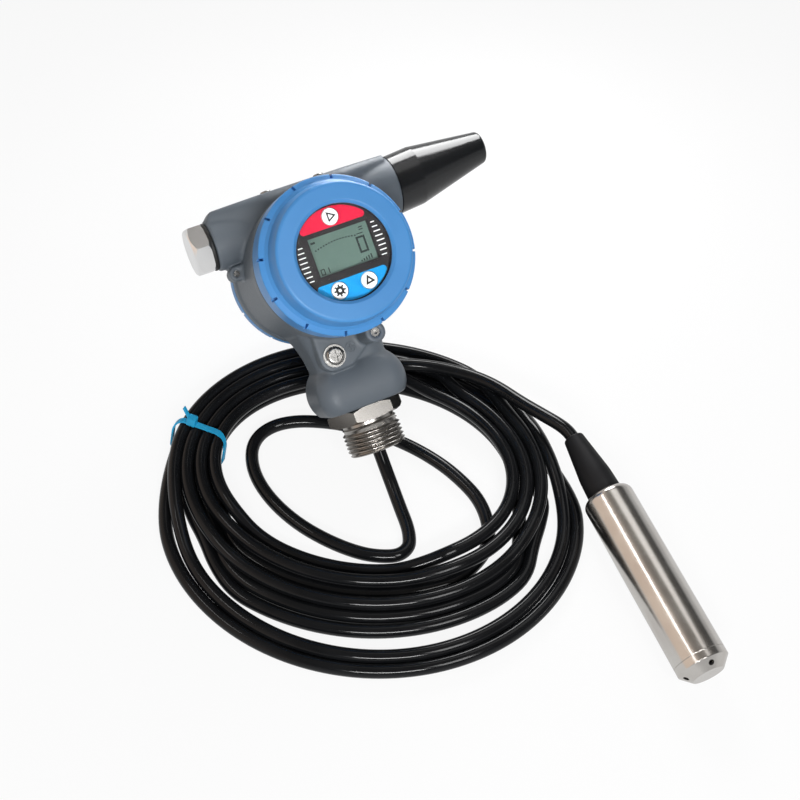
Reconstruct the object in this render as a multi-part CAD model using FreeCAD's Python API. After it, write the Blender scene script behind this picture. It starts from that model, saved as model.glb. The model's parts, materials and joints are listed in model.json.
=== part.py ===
import FreeCAD, Part
import math
import os

from FreeCAD import Placement, Rotation, Vector

# Submersible level transmitter: a field housing with a display, its coiled cable and the probe.
# Millimetres, +Z up. The origin is on the floor, under the middle of housing and probe.
# Housing frame: -Y is the display side, +Z runs up along the neck, X along the conduit hubs.
# Probe frame: +Z runs from the nose to the cable end.

# How the housing and the probe lie on the floor
housing_place = (-71.4, 65.28, 84.2)
housing_yaw = 26.05
housing_lean = 50.32
probe_nose_place = (130.25, -144.12)
probe_yaw = 113.0
probe_tilt = 5.0

# Clearances
running_gap = 0.3
seat_gap = 0.1

# Edge roundings, and how far a cutter reaches past the face it starts from
fine_edge = 0.3
soft_edge = 0.6
broad_edge = 1.0
overcut = 1.0

# Housing casting
chamber_radius = 32.5
barrel_radius = 40.0
collar_rise = 1.0
collar_width = 8.0
front_rim = 44.0
rear_rim = 26.0
partition_back = 9.0
partition_thickness = 5.0
thread_depth = 2.5
front_thread_length = 17.0
rear_thread_length = 15.0
bar_half_depth = 17.0
bar_left_half_depth = 8.5
bar_right_half_depth = 11.0
bar_left_full = 14.0
bar_right_full = 30.0
bar_foot_share = 0.6
bar_top = 46.0
bar_left = 47.5
bar_right = 57.0
bar_round = 6.0
bar_bevel = 3.0
hub_height = 28.7
hub_left_radius = 14.2
hub_left_end = 49.0
hub_right_radius = 16.6
hub_right_root_radius = 17.2
hub_right_root = 30.0
hub_right_end = 59.0
conduit_radius = 9.5
conduit_reach_share = 0.6
neck_root_width = 50.0
neck_root_depth = 46.0
neck_width = 40.5
neck_depth = 37.0
neck_round = 10.0
neck_waist_share = 0.75
neck_end = 57.0
bulge_width = 51.5
bulge_depth = 46.0
bulge_base_width = 45.0
bulge_base_depth = 40.0
bulge_end = 80.5
bulge_lap = 1.0
bulge_swell = ((0.16, 0.67), (0.46, 1.0), (0.8, 0.85))
neck_bore_radius = 8.0
neck_bore_share = 0.9
socket_radius = 14.0
socket_depth = 15.0
pad_front = 24.0
pad_back = 10.0
pad_margin = 2.0
pad_lap = 4.0
pad_left_share = 0.9
pad_right_share = 0.5
lock_lug_radius = 5.6
lock_lug_x = 9.6
lock_lug_stand = 3.64
side_lug_radius = 4.0
side_lug_stand = 2.4
side_lug_lap = 2.0
side_lug_round_share = 0.95
side_lug_z = 10.2
side_lug_front = 9.0
side_lug_back = 3.0

# Covers
oring_section = 2.5
rim_gap = 0.3
flange_radius = 41.0
flange_bevel = 1.6
front_flange_width = 18.0
rear_flange_width = 9.0
skirt_length = 14.0
skirt_wall = 3.2
nose_root_radius = 36.5
nose_tip_radius = 35.0
nose_root_rise = 1.8
nose_round = 1.8
front_nose_length = 13.9
rear_nose_length = 18.7
rear_nose_round = 3.2
rear_cover_wall = 4.5
notch_count = 12
notch_width = 1.4
notch_depth = 2.4
notch_length = 6.0
window_radius = 24.5
window_lip = 2.2
window_bevel = 1.5
glass_radius = 29.8
glass_thickness = 3.5
retainer_width = 2.6
retainer_thickness = 2.0

# Display and electronics
panel_gap = 0.8
panel_side_gap = 0.6
faceplate_thickness = 1.6
lcd_window_width = 32.0
lcd_window_height = 19.6
lcd_border = 2.0
lcd_thickness = 3.0
lcd_x = 1.0
lcd_z = 1.7
key_radius = 4.2
key_stem_radius = 1.4
key_proud = 0.4
key_travel = 0.4
key_flange = 0.8
key_inset = 7.6
key_angles = {"key_up": 90.0, "key_set": 244.8, "key_shift": 295.2}
board_thickness = 1.6
display_can_depth = 20.0
display_can_wall = 1.4
electronics_can_radius = 25.0
electronics_can_depth = 24.0
post_radius = 3.0
post_circle = 18.0
post_count = 3
terminal_width = 42.0
terminal_height = 14.0
terminal_depth = 12.0
terminal_z = -4.0
terminal_count = 6
terminal_barrier = 1.4
terminal_well_share = 0.7
terminal_screw_radius = 2.3
terminal_screw_head = 1.5

# Plug, boot and screws
plug_flats = 25.0
plug_length = 9.6
plug_shank = 14.0
plug_crown = 2.2
plug_foot = 1.2
plug_oring_thickness = 2.3
plug_oring_radius = 13.2
boot_length = 58.4
boot_straight = 15.0
boot_tip_radius = 9.0
boot_tip_round = 2.0
boot_rise = 4.7
boot_spigot = 12.0
boot_hole_radius = 4.6
ground_screw_x = -11.2
ground_screw_stand = 8.7
ground_head_radius = 5.0
ground_head_height = 3.2
ground_head_round = 1.6
cross_span_share = 1.2
cross_width = 1.2
cross_depth = 1.6
slot_width = 0.8
slot_depth = 0.7
thread_runout = 1.5
ground_shank_radius = 2.4
ground_shank_length = 8.0
ground_washer_radius = 6.2
ground_washer_thickness = 1.0
lock_screw_radius = 2.4
lock_screw_length = 8.0
lock_screw_recess = 1.5
lock_socket_depth = 2.6
top_screw_places = (-10.5, 20.9)
top_screw_radius = 3.0
top_screw_head = 1.8
top_screw_round = 0.9
top_screw_shank_radius = 1.6
top_screw_length = 5.0
lug_screw_radius = 1.7
lug_screw_recess = 0.8

# Process connector
connector_flats = 38.0
connector_hex_length = 8.0
connector_crown = 1.5
connector_ease = 0.6
connector_spigot = 13.5
process_radius = 16.6
process_length = 18.3
process_relief = 2.0
process_relief_depth = 1.7
process_chamfer = 1.2
connector_bore_radius = 5.5
seal_radius = 9.9
seal_length = 8.5

# Probe
probe_radius = 14.0
probe_length = 109.0
probe_wall = 2.0
probe_top_wall = 4.0
probe_top_round = 4.2
probe_inlet_radius = 6.6
nose_length = 9.4
nose_chamfer = 5.3
nose_floor = 4.6
nose_spigot = 6.0
nose_pocket_radius = 9.9
nose_port_radius = 1.5
nose_port_count = 4
nose_port_start = 2.0
capsule_length = 10.0
capsule_oring_section = 1.8
probe_board_length = 50.0
probe_board_start = 24.0
probe_seal_length = 10.0
probe_boot_length = 38.4
probe_boot_base_radius = 9.6
probe_boot_tip_radius = 5.6
probe_boot_knee_share = 0.33
probe_boot_knee_step = 0.6
probe_boot_knee_round = 40.0
probe_boot_tip_round = 1.2

# Cable, its coil and its tie
cable_radius = 3.75
floor_line = 3.8
coil_turn = -11.0
coil_height = 15.5
coil_round = 3.6
coil_outer = ((-43.5, -20.72), 111.6, 93.5)
coil_inner = ((-43.8, -17.22), 80.4, 57.5)
stray_outer = ((-39.7, -38.42), 119.3, 100.5)
stray_width = 16.4
stray_height = 7.8
bend_share = 0.45
tie_middle = (-138.6, 1.78)
tie_turn = -17.0
tie_span = 39.0
tie_thickness = 1.2
tie_width = 2.6
tie_foot_round = 2.0
tie_head = (5.6, 4.6, 3.8)
tie_head_round = 0.7
tie_head_share = 0.45
tie_tail_length = 8.0
tie_tail_lap = 3.0
lead_seat = 3.0

# Route of the lead from the connector: down to the floor, round the inner loop, under the coil
lead_route = [
    (-32.3, -14.82, 10.3),
    (-27.3, -27.22, 5.0),
    (-22.7, -41.22, floor_line),
    (-19.3, -51.22, floor_line),
    (-17.9, -58.62, floor_line),
    (-18.2, -65.42, floor_line),
    (-23.4, -70.32, floor_line),
    (-31.7, -71.12, floor_line),
    (-43.6, -69.52, floor_line),
    (-60.1, -62.72, floor_line),
    (-78.6, -51.22, floor_line),
    (-94.6, -35.72, floor_line),
    (-105.1, -18.72, floor_line),
    (-108.4, -2.72, floor_line),
    (-105.1, 9.28, floor_line),
    (-96.6, 17.78, floor_line),
    (-85.1, 22.08, floor_line),
    (-71.6, 22.48, floor_line),
    (-55.8, 19.98, floor_line),
    (-35.2, 12.78, floor_line),
    (-15.8, 2.18, floor_line),
    (0.4, -11.02, floor_line),
    (11.4, -22.22, floor_line),
    (20.1, -33.72, floor_line),
    (24.9, -47.22, floor_line),
    (25.5, -60.72, floor_line),
]

# Route of the tail: up out of the coil, across the top of its turns and on to the probe's boot
tail_route = [
    (-66.4, 46.18, 11.6),
    (-52.4, 47.58, 15.2),
    (-37.9, 48.78, 18.9),
    (-21.4, 48.98, 19.4),
    (-5.4, 47.48, 19.4),
    (9.1, 43.98, 19.4),
    (22.1, 38.98, 19.4),
    (33.8, 31.58, 19.7),
    (45.2, 20.38, 21.0),
    (57.2, 8.88, 24.0),
    (67.4, -0.65, 26.2),
    (72.1, -7.12, 26.5),
]
tail_seat = 4.0

# Sizes worked out from those above
collar_radius = barrel_radius + collar_rise
lock_lug_z = -math.sqrt((collar_radius + lock_lug_stand) ** 2 - lock_lug_x ** 2)
side_lug_x = -barrel_radius - side_lug_stand
ground_screw_z = -barrel_radius - ground_screw_stand
thread_bore_radius = chamber_radius + thread_depth
skirt_radius = thread_bore_radius - running_gap
skirt_inner_radius = skirt_radius - skirt_wall
oring_radius = skirt_radius + running_gap + oring_section / 2
seal_seat_radius = oring_radius + oring_section / 2 + running_gap
seal_seat_depth = oring_section + 2 * running_gap - rim_gap
front_flange_top = rim_gap + front_flange_width
rear_flange_top = rim_gap + rear_flange_width
cover_face = front_flange_top + front_nose_length
cover_back = rear_flange_top + rear_nose_length
glass_front = cover_face - window_lip
glass_back = glass_front - glass_thickness
retainer_back = glass_back - retainer_thickness
glass_seat_radius = glass_radius + seat_gap
retainer_inner_radius = glass_radius - retainer_width
faceplate_radius = retainer_inner_radius - panel_side_gap
key_circle = faceplate_radius - key_inset
faceplate_front = front_rim + glass_back - panel_gap
faceplate_back = faceplate_front - faceplate_thickness
lcd_back = faceplate_back - lcd_thickness
display_can_back = faceplate_back - display_can_depth
electronics_can_back = display_can_back - electronics_can_depth
partition_front = partition_back + partition_thickness
connector_top = -bulge_end
hex_end = connector_top - connector_hex_length
process_end = hex_end - process_length
cable_bore_radius = cable_radius + seat_gap
probe_inner_radius = probe_radius - probe_wall
probe_end = probe_length + probe_boot_length


# A closed outline through corners (a, b, rounding), laid out in space by the function point
def outline(corners, point):
    tangents = []
    for index, (a, b, rounding) in enumerate(corners):
        here = Vector(a, b, 0)
        before = Vector(*corners[index - 1][:2], 0) - here
        after = Vector(*corners[(index + 1) % len(corners)][:2], 0) - here
        before.normalize()
        after.normalize()
        if rounding == 0:
            tangents.append((here, None, here))
            continue
        half = before.getAngle(after) / 2
        middle = before + after
        middle.normalize()
        reach = rounding / math.tan(half)
        inset = rounding / math.sin(half) - rounding
        tangents.append((here + before * reach, here + middle * inset, here + after * reach))
    edges = []
    for index, (start, bow, end) in enumerate(tangents):
        last = tangents[index - 1][2]
        if (start - last).Length > 1e-6:
            edges.append(Part.LineSegment(point(last.x, last.y), point(start.x, start.y)).toShape())
        if bow:
            bend = [point(spot.x, spot.y) for spot in (start, bow, end)]
            edges.append(Part.Arc(*bend).toShape())
    return Part.Wire(edges)


# A solid with its faces turned outwards
def outward(solid):
    if solid.Volume < 0:
        solid.reverse()
    return solid


def turned(corners, axis):
    points = {
        "X": lambda radius, along: Vector(along, radius, 0),
        "Y": lambda radius, along: Vector(radius, along, 0),
        "Z": lambda radius, along: Vector(radius, 0, along),
    }
    directions = {"X": Vector(1, 0, 0), "Y": Vector(0, 1, 0), "Z": Vector(0, 0, 1)}
    face = Part.Face(outline(corners, points[axis]))
    return outward(face.revolve(Vector(0, 0, 0), directions[axis], 360))


# An outline in the XZ plane, drawn out along Y
def plate(corners, front, back):
    face = Part.Face(outline(corners, lambda x, z: Vector(x, front, z)))
    return outward(face.extrude(Vector(0, back - front, 0)))


def rod(start, direction, radius, length):
    return Part.makeCylinder(radius, length, Vector(*start), Vector(*direction))


def rounded_section(width, depth, rounding, z):
    half_x = width / 2
    half_y = depth / 2
    corners = [(-half_x, -half_y), (half_x, -half_y), (half_x, half_y), (-half_x, half_y)]
    return outline([(x, y, rounding) for x, y in corners], lambda x, y: Vector(x, y, z))


def hexagon(flats, start, length, axis):
    reach = flats / math.sqrt(3)
    spots = []
    for index in range(7):
        angle = math.radians(60 * index)
        first = reach * math.cos(angle)
        second = reach * math.sin(angle)
        spots.append(Vector(first, second, start) if axis == "Z" else Vector(start, first, second))
    step = Vector(0, 0, length) if axis == "Z" else Vector(length, 0, 0)
    return outward(Part.Face(Part.makePolygon(spots)).extrude(step))


def at_hub(solid):
    return solid.translated(Vector(0, 0, hub_height))


# Housing: barrel, conduit bar, hubs, neck and lugs as one casting, then its chambers and bores
def housing():
    barrel = turned([
        (0, -front_rim, 0),
        (collar_radius, -front_rim, soft_edge),
        (collar_radius, -front_rim + collar_width, 0),
        (barrel_radius, -front_rim + collar_width + collar_rise, 0),
        (barrel_radius, rear_rim - collar_width - collar_rise, 0),
        (collar_radius, rear_rim - collar_width, 0),
        (collar_radius, rear_rim, soft_edge),
        (0, rear_rim, 0),
    ], "Y")
    cast = barrel.fuse([conduit_bar(), hubs(), neck(), bulge(), ground_pad(), lock_lug(), side_lug()])
    cast = cast.removeSplitter()
    return cast.cut(chambers() + bores()).removeSplitter()


# The bar over the barrel narrows to both ends, so that the round hubs stand out of its sides
def conduit_bar():
    bar_foot = chamber_radius * bar_foot_share
    sections = []
    for x, half_depth in (
        (-bar_left, bar_left_half_depth),
        (-bar_left_full, bar_half_depth),
        (bar_right_full, bar_half_depth),
        (bar_right, bar_right_half_depth),
    ):
        rounding = bar_round * half_depth / bar_half_depth
        sections.append(outline([
            (-half_depth, bar_foot, 0),
            (-half_depth, bar_top, rounding),
            (half_depth, bar_top, rounding),
            (half_depth, bar_foot, 0),
        ], lambda y, z: Vector(x, y, z)))
    bar = outward(Part.makeLoft(sections, True, True))
    front = plate([
        (-bar_left, bar_foot, 0),
        (-bar_left, bar_top - bar_bevel, 0),
        (-bar_left + bar_bevel, bar_top, 0),
        (bar_right, bar_top, 0),
        (bar_right, bar_foot, 0),
    ], -bar_half_depth, bar_half_depth)
    return bar.common(front)


def hubs():
    left = rod((-hub_left_end, 0, hub_height), (1, 0, 0), hub_left_radius, hub_left_end)
    right = at_hub(turned([
        (0, 0, 0),
        (hub_right_root_radius, 0, 0),
        (hub_right_root_radius, hub_right_root, 0),
        (hub_right_radius, hub_right_end, soft_edge),
        (0, hub_right_end, 0),
    ], "X"))
    return left.fuse(right)


def neck():
    root = -chamber_radius
    waist = (root - neck_end) / 2
    waist_width = neck_root_width + (neck_width - neck_root_width) * neck_waist_share
    waist_depth = neck_root_depth + (neck_depth - neck_root_depth) * neck_waist_share
    sections = [
        rounded_section(neck_root_width, neck_root_depth, neck_round, root),
        rounded_section(waist_width, waist_depth, neck_round, waist),
        rounded_section(neck_width, neck_depth, neck_round, -neck_end),
    ]
    return outward(Part.makeLoft(sections, True, False))


# The swollen lower end of the neck: at a share of its height it has that share of its full swelling
def bulge():
    height = bulge_end - neck_end
    start = -neck_end + bulge_lap
    sections = [rounded_section(neck_width + bulge_lap, neck_depth + bulge_lap, neck_round, start)]
    for drop, swell in bulge_swell:
        width = neck_width + (bulge_width - neck_width) * swell
        depth = neck_depth + (bulge_depth - neck_depth) * swell
        sections.append(rounded_section(width, depth, neck_round, -neck_end - drop * height))
    sections.append(rounded_section(bulge_base_width, bulge_base_depth, neck_round, -bulge_end))
    return outward(Part.makeLoft(sections, True, False))


# Flat pad for the ground screw, wrapped round the screw at its lower left
def ground_pad():
    wrap = ground_washer_radius + pad_margin
    return plate([
        (ground_screw_x - wrap, -barrel_radius + pad_lap, 0),
        (ground_screw_x - wrap, ground_screw_z - wrap, wrap * pad_left_share),
        (ground_screw_x + wrap, ground_screw_z - wrap, wrap * pad_right_share),
        (lock_lug_x + lock_lug_radius, lock_lug_z - pad_margin / 2, pad_margin),
        (lock_lug_x + lock_lug_radius, -barrel_radius + pad_lap, 0),
    ], -pad_front, -pad_back)


def lock_lug():
    lug = rod((lock_lug_x, -front_rim + running_gap, lock_lug_z), (0, 1, 0), lock_lug_radius,
              front_rim - pad_back)
    hole = rod((lock_lug_x, -front_rim, lock_lug_z), (0, 1, 0), lock_screw_radius + seat_gap,
               lock_screw_length + lock_screw_recess + running_gap)
    return lug.cut(hole)


def side_lug():
    root = -math.sqrt(barrel_radius ** 2 - (abs(side_lug_z) + side_lug_radius) ** 2) + side_lug_lap
    end = side_lug_x - side_lug_radius
    low = side_lug_z - side_lug_radius
    high = side_lug_z + side_lug_radius
    rounding = side_lug_radius * side_lug_round_share
    corners = [(root, low, 0), (end, low, rounding), (end, high, rounding), (root, high, 0)]
    return plate(corners, -side_lug_front, side_lug_back)


# Each chamber widens to its cover thread and then to the seat of its O-ring
def chambers():
    front = turned([
        (0, -front_rim - overcut, 0),
        (seal_seat_radius, -front_rim - overcut, 0),
        (seal_seat_radius, -front_rim + seal_seat_depth, 0),
        (thread_bore_radius, -front_rim + seal_seat_depth, 0),
        (thread_bore_radius, -front_rim + front_thread_length, 0),
        (chamber_radius, -front_rim + front_thread_length, 0),
        (chamber_radius, -partition_front, 0),
        (0, -partition_front, 0),
    ], "Y")
    rear = turned([
        (0, rear_rim + overcut, 0),
        (seal_seat_radius, rear_rim + overcut, 0),
        (seal_seat_radius, rear_rim - seal_seat_depth, 0),
        (thread_bore_radius, rear_rim - seal_seat_depth, 0),
        (thread_bore_radius, rear_rim - rear_thread_length, 0),
        (chamber_radius, rear_rim - rear_thread_length, 0),
        (chamber_radius, -partition_back, 0),
        (0, -partition_back, 0),
    ], "Y")
    return [front, rear]


def bores():
    reach = math.sqrt(chamber_radius ** 2 - hub_height ** 2) * conduit_reach_share
    left = rod((-hub_left_end - overcut, 0, hub_height), (1, 0, 0), conduit_radius,
               hub_left_end + overcut - reach)
    right = rod((reach, 0, hub_height), (1, 0, 0), conduit_radius, hub_right_end + overcut - reach)
    wires = rod((0, 0, -bulge_end), (0, 0, 1), neck_bore_radius,
                bulge_end - chamber_radius * neck_bore_share)
    socket = rod((0, 0, -bulge_end - overcut), (0, 0, 1), socket_radius, socket_depth + overcut)
    ground = rod((ground_screw_x, -pad_front - overcut, ground_screw_z), (0, 1, 0),
                 ground_shank_radius + seat_gap, overcut + ground_shank_length + thread_runout)
    side = rod((side_lug_x, -side_lug_front - overcut, side_lug_z), (0, 1, 0), lug_screw_radius + seat_gap,
               side_lug_front + side_lug_back + 2 * overcut)
    tops = [rod((x, 0, bar_top + overcut), (0, 0, -1), top_screw_shank_radius + seat_gap,
                overcut + top_screw_length + thread_runout)
            for x in top_screw_places]
    return [left, right, wires, socket, ground, side] + tops


# Grip notches round the outer edge of a cover's flange; side is -1 in front and 1 behind
def cut_notches(cover, rim, flange_top, side):
    notches = []
    for index in range(notch_count):
        start = side * (rim + flange_top + overcut)
        low = min(start, start - side * (notch_length + overcut))
        notch = Part.makeBox(notch_depth + overcut, notch_length + overcut, notch_width,
                             Vector(flange_radius - notch_depth, low, -notch_width / 2))
        turn = Rotation(Vector(0, 1, 0), 360 * (index + 0.5) / notch_count)
        notch.Placement = Placement(Vector(0, 0, 0), turn)
        notches.append(notch)
    return cover.cut(notches)


# The part of a cover's profile that both covers share, from the skirt's end to the nose's root
def cover_edge(rim, flange_top, side):
    corners = [
        (skirt_inner_radius, -skirt_length, 0),
        (skirt_radius, -skirt_length, soft_edge),
        (skirt_radius, rim_gap, 0),
        (flange_radius, rim_gap, soft_edge),
        (flange_radius, flange_top - flange_bevel, broad_edge),
        (nose_root_radius + flange_bevel, flange_top, soft_edge),
        (nose_root_radius, flange_top + nose_root_rise, broad_edge),
    ]
    return [(radius, side * (rim + along), rounding) for radius, along, rounding in corners]


def front_cover():
    face = [
        (nose_tip_radius, cover_face, nose_round),
        (window_radius + window_bevel, cover_face, soft_edge),
        (window_radius, cover_face - window_bevel, 0),
        (window_radius, glass_front, 0),
        (glass_seat_radius, glass_front, 0),
        (glass_seat_radius, retainer_back, 0),
        (skirt_inner_radius, retainer_back, 0),
    ]
    face = [(radius, -front_rim - along, rounding) for radius, along, rounding in face]
    edge = cover_edge(front_rim, front_flange_top, -1)
    return cut_notches(turned(edge + face, "Y"), front_rim, front_flange_top, -1)


def rear_cover():
    back = [
        (nose_tip_radius, cover_back, rear_nose_round),
        (0, cover_back, 0),
        (0, cover_back - rear_cover_wall, 0),
        (skirt_inner_radius, cover_back - rear_cover_wall, broad_edge),
    ]
    back = [(radius, rear_rim + along, rounding) for radius, along, rounding in back]
    edge = cover_edge(rear_rim, rear_flange_top, 1)
    return cut_notches(turned(edge + back, "Y"), rear_rim, rear_flange_top, 1)


def cover_oring(side, rim):
    middle = side * (rim + rim_gap - running_gap - oring_section / 2)
    return Part.makeTorus(oring_radius, oring_section / 2, Vector(0, middle, 0), Vector(0, 1, 0))


def ring_along_y(outer, inner, front, thickness):
    disc = rod((0, front, 0), (0, 1, 0), outer, thickness)
    return disc.cut(rod((0, front - overcut, 0), (0, 1, 0), inner, thickness + 2 * overcut))


def window_glass():
    return turned([
        (0, -front_rim - glass_front, 0),
        (glass_radius, -front_rim - glass_front, fine_edge),
        (glass_radius, -front_rim - glass_back, fine_edge),
        (0, -front_rim - glass_back, 0),
    ], "Y")


def window_retainer():
    return ring_along_y(glass_radius, retainer_inner_radius, -front_rim - glass_back, retainer_thickness)


def lcd_box(border, front, depth):
    width = lcd_window_width + 2 * border
    height = lcd_window_height + 2 * border
    return Part.makeBox(width, depth, height, Vector(lcd_x - width / 2, front, lcd_z - height / 2))


def key_spot(angle):
    return key_circle * math.cos(math.radians(angle)), key_circle * math.sin(math.radians(angle))


def display_faceplate():
    disc = rod((0, -faceplate_front, 0), (0, 1, 0), faceplate_radius, faceplate_thickness)
    cuts = [lcd_box(0, -faceplate_front - overcut, faceplate_thickness + 2 * overcut)]
    for x, z in map(key_spot, key_angles.values()):
        cuts.append(rod((x, -faceplate_front - overcut, z), (0, 1, 0), key_radius + running_gap,
                        faceplate_thickness + 2 * overcut))
    return disc.cut(cuts)


def lcd_module():
    return lcd_box(lcd_border, -faceplate_back, lcd_thickness)


def display_board():
    board_radius = faceplate_radius - display_can_wall - seat_gap
    return rod((0, -lcd_back, 0), (0, 1, 0), board_radius, board_thickness)


def display_can():
    outer = rod((0, -faceplate_back, 0), (0, 1, 0), faceplate_radius, display_can_depth)
    inner = rod((0, -faceplate_back - overcut, 0), (0, 1, 0), faceplate_radius - display_can_wall,
                overcut + display_can_depth - display_can_wall)
    return outer.cut(inner)


# A key: a cap through the faceplate, a flange behind it and a stem that stops short of the board
def key(x, z):
    flange_front = -faceplate_back + running_gap
    stem_end = -lcd_back - key_travel - running_gap
    tip = -faceplate_front - key_proud
    solid = turned([
        (0, tip, 0),
        (key_radius, tip, fine_edge),
        (key_radius, flange_front, 0),
        (key_radius + 2 * running_gap, flange_front, 0),
        (key_radius + 2 * running_gap, flange_front + key_flange, 0),
        (key_stem_radius, flange_front + key_flange, 0),
        (key_stem_radius, stem_end, 0),
        (0, stem_end, 0),
    ], "Y")
    return solid.translated(Vector(x, 0, z))


def electronics_can():
    return turned([
        (0, -display_can_back, 0),
        (electronics_can_radius, -display_can_back, soft_edge),
        (electronics_can_radius, -electronics_can_back, soft_edge),
        (0, -electronics_can_back, 0),
    ], "Y")


def mounting_posts():
    posts = []
    for index in range(post_count):
        angle = math.radians(90 + 360 * index / post_count)
        start = (post_circle * math.cos(angle), -electronics_can_back, post_circle * math.sin(angle))
        posts.append(rod(start, (0, 1, 0), post_radius, electronics_can_back - partition_front))
    return Part.makeCompound(posts)


def terminal_spots():
    pitch = terminal_width / terminal_count
    return [pitch * (index + 0.5) - terminal_width / 2 for index in range(terminal_count)]


# Terminal block with a barrier on each side of every screw
def terminal_block():
    well_width = terminal_width / terminal_count - terminal_barrier
    well_height = terminal_height * terminal_well_share
    low = terminal_z - terminal_height / 2
    block = Part.makeBox(terminal_width, terminal_depth, terminal_height,
                         Vector(-terminal_width / 2, -partition_back, low))
    wells = []
    for x in terminal_spots():
        wells.append(Part.makeBox(well_width, terminal_depth / 2, well_height,
                                  Vector(x - well_width / 2, -partition_back + terminal_depth / 2,
                                         low + terminal_height - well_height)))
    return block.cut(wells)


# A screw with a driver slot across its head; turn lays the slot's +Z along the way the head faces
def slotted(screw, radius, head_middle, turn):
    reach = radius + overcut
    slot = Part.makeBox(2 * reach, slot_width, slot_depth + overcut,
                        Vector(-reach, -slot_width / 2, -slot_depth))
    slot.Placement = Placement(Vector(*head_middle), Rotation(Vector(1, 0, 0), turn))
    return screw.cut(slot)


def terminal_screws():
    seat = -partition_back + terminal_depth / 2
    z = terminal_z + terminal_height * (1 - terminal_well_share) / 2
    heads = []
    for x in terminal_spots():
        head = rod((x, seat, z), (0, 1, 0), terminal_screw_radius, terminal_screw_head)
        heads.append(slotted(head, terminal_screw_radius, (x, seat + terminal_screw_head, z), -90))
    return Part.makeCompound(heads)


def blanking_plug():
    inner = -hub_left_end - plug_oring_thickness
    outer = inner - plug_length
    reach = plug_flats / math.sqrt(3)
    head = hexagon(plug_flats, outer, plug_length, "X")
    crown = turned([
        (0, outer, 0),
        (plug_flats / 2 - soft_edge, outer, 0),
        (reach + seat_gap, outer + plug_crown, 0),
        (reach + seat_gap, inner - plug_foot, 0),
        (reach - plug_foot, inner, 0),
        (0, inner, 0),
    ], "X")
    shank = turned([
        (0, inner - overcut, 0),
        (conduit_radius - seat_gap, inner - overcut, 0),
        (conduit_radius - seat_gap, inner + plug_shank, broad_edge),
        (0, inner + plug_shank, 0),
    ], "X")
    return at_hub(head.common(crown).fuse(shank).removeSplitter())


def plug_oring():
    inner_radius = conduit_radius + seat_gap
    outer = -hub_left_end - plug_oring_thickness
    return at_hub(turned([
        (inner_radius, outer, soft_edge),
        (plug_oring_radius, outer, broad_edge),
        (plug_oring_radius, -hub_left_end, broad_edge),
        (inner_radius, -hub_left_end, soft_edge),
    ], "X"))


def hub_circle(radius, x, rise):
    return Part.Wire(Part.Circle(Vector(x, 0, hub_height + rise), Vector(1, 0, 0), radius).toShape())


# Cable-entry boot: a straight cuff, a taper that rises a little, and a cable hole on its own line
def cable_entry_boot():
    tip = hub_right_end + boot_length
    kink = hub_right_end + boot_straight
    kink_rise = boot_rise * boot_straight / boot_length
    rings = [hub_circle(hub_right_radius, hub_right_end, 0), hub_circle(hub_right_radius, kink, kink_rise)]
    cuff = outward(Part.makeLoft(rings, True, True))
    rings = [hub_circle(hub_right_radius, kink, kink_rise), hub_circle(boot_tip_radius, tip, boot_rise)]
    taper = outward(Part.makeLoft(rings, True, True))
    rim = [edge for edge in taper.Edges if edge.BoundBox.XMin > tip - seat_gap]
    taper = taper.makeFillet(boot_tip_round, rim)
    spigot = rod((hub_right_end - boot_spigot, 0, hub_height), (1, 0, 0), conduit_radius - seat_gap,
                 boot_spigot + overcut)
    slope = Vector(boot_length, 0, boot_rise)
    slope.normalize()
    start = Vector(hub_right_end, 0, hub_height) - slope * (boot_spigot + 2 * overcut)
    hole = Part.makeCylinder(boot_hole_radius, boot_length + boot_spigot + 6 * overcut, start, slope)
    return cuff.fuse([taper, spigot]).removeSplitter().cut(hole)


# Pan-head screw with a cross recess, in front of its washer
def ground_screw():
    seat = -pad_front - ground_washer_thickness
    front = seat - ground_head_height
    solid = turned([
        (0, front, 0),
        (ground_head_radius, front, ground_head_round),
        (ground_head_radius, seat, 0),
        (ground_shank_radius, seat, 0),
        (ground_shank_radius, -pad_front + ground_shank_length, 0),
        (0, -pad_front + ground_shank_length, 0),
    ], "Y")
    span = ground_head_radius * cross_span_share
    depth = cross_depth + overcut
    cross = [
        Part.makeBox(span, depth, cross_width, Vector(-span / 2, front - overcut, -cross_width / 2)),
        Part.makeBox(cross_width, depth, span, Vector(-cross_width / 2, front - overcut, -span / 2)),
    ]
    return solid.cut(cross).translated(Vector(ground_screw_x, 0, ground_screw_z))


def ground_washer():
    ring = ring_along_y(ground_washer_radius, ground_shank_radius + seat_gap,
                        -pad_front - ground_washer_thickness, ground_washer_thickness)
    return ring.translated(Vector(ground_screw_x, 0, ground_screw_z))


def cover_lock_screw():
    start = -front_rim + running_gap + lock_screw_recess
    screw = rod((lock_lug_x, start, lock_lug_z), (0, 1, 0), lock_screw_radius, lock_screw_length)
    socket = hexagon(lock_screw_radius, -start - lock_socket_depth, lock_socket_depth, "Z")
    socket.Placement = Placement(Vector(lock_lug_x, 0, lock_lug_z), Rotation(Vector(1, 0, 0), 90))
    return screw.cut(socket)


def top_screws():
    screws = []
    for x in top_screw_places:
        solid = turned([
            (0, bar_top + top_screw_head, 0),
            (top_screw_radius, bar_top + top_screw_head, top_screw_round),
            (top_screw_radius, bar_top, 0),
            (top_screw_shank_radius, bar_top, 0),
            (top_screw_shank_radius, bar_top - top_screw_length, 0),
            (0, bar_top - top_screw_length, 0),
        ], "Z")
        screw = solid.translated(Vector(x, 0, 0))
        screws.append(slotted(screw, top_screw_radius, (x, 0, bar_top + top_screw_head), 0))
    return Part.makeCompound(screws)


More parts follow.
